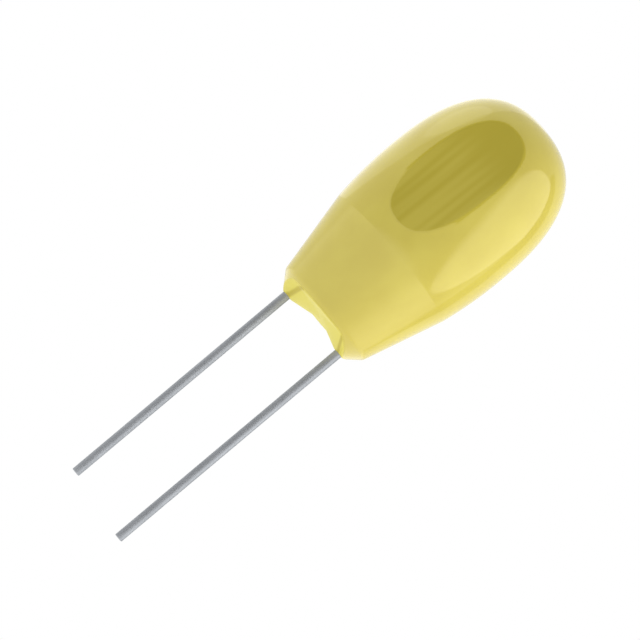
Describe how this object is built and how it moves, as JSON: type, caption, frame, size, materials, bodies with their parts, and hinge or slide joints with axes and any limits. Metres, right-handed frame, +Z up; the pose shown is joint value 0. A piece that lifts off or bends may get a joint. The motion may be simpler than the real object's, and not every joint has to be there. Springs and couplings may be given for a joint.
{
  "type": "dipped tantalum capacitor",
  "caption": "Radial capacitor with a glossy yellow epoxy bead, a flat marking face and straight tinned leads of unequal length.",
  "frame": {"origin": "Midway between the two leads, level with the two feet of the coat: the plane that sits on the circuit board.", "axes": "+Z runs up the capacitor's axis to the crown of the bulb, and both leads run down along -Z. +X points from the negative lead to the positive lead. The marking flat faces -Y."},
  "size_m": [0.011, 0.0109, 0.0372],
  "materials": {
    "epoxy": "glossy opaque yellow fluidised-bed epoxy",
    "tinned_wire": "satin drawn wire with a tin coat",
    "tantalum": "drawn grey tantalum wire",
    "sintered_tantalum": "matt porous sintered powder",
    "washer_polymer": "white waxy fluoropolymer",
    "manganese_dioxide": "matt black pyrolysed oxide",
    "graphite": "matt dark grey dried graphite",
    "silver_paint": "matt pale silver flake paint",
    "solder": "bright cooled solder"
  },
  "bodies": {
    "root": {"epoxy_coat": "epoxy", "positive_lead": "tinned_wire", "negative_lead": "tinned_wire", "riser_wire": "tantalum", "anode_pellet": "sintered_tantalum", "insulating_washer": "washer_polymer", "manganese_dioxide_coat": "manganese_dioxide", "graphite_coat": "graphite", "silver_coat": "silver_paint", "solder_joint": "solder"}
  },
  "joints": []
}
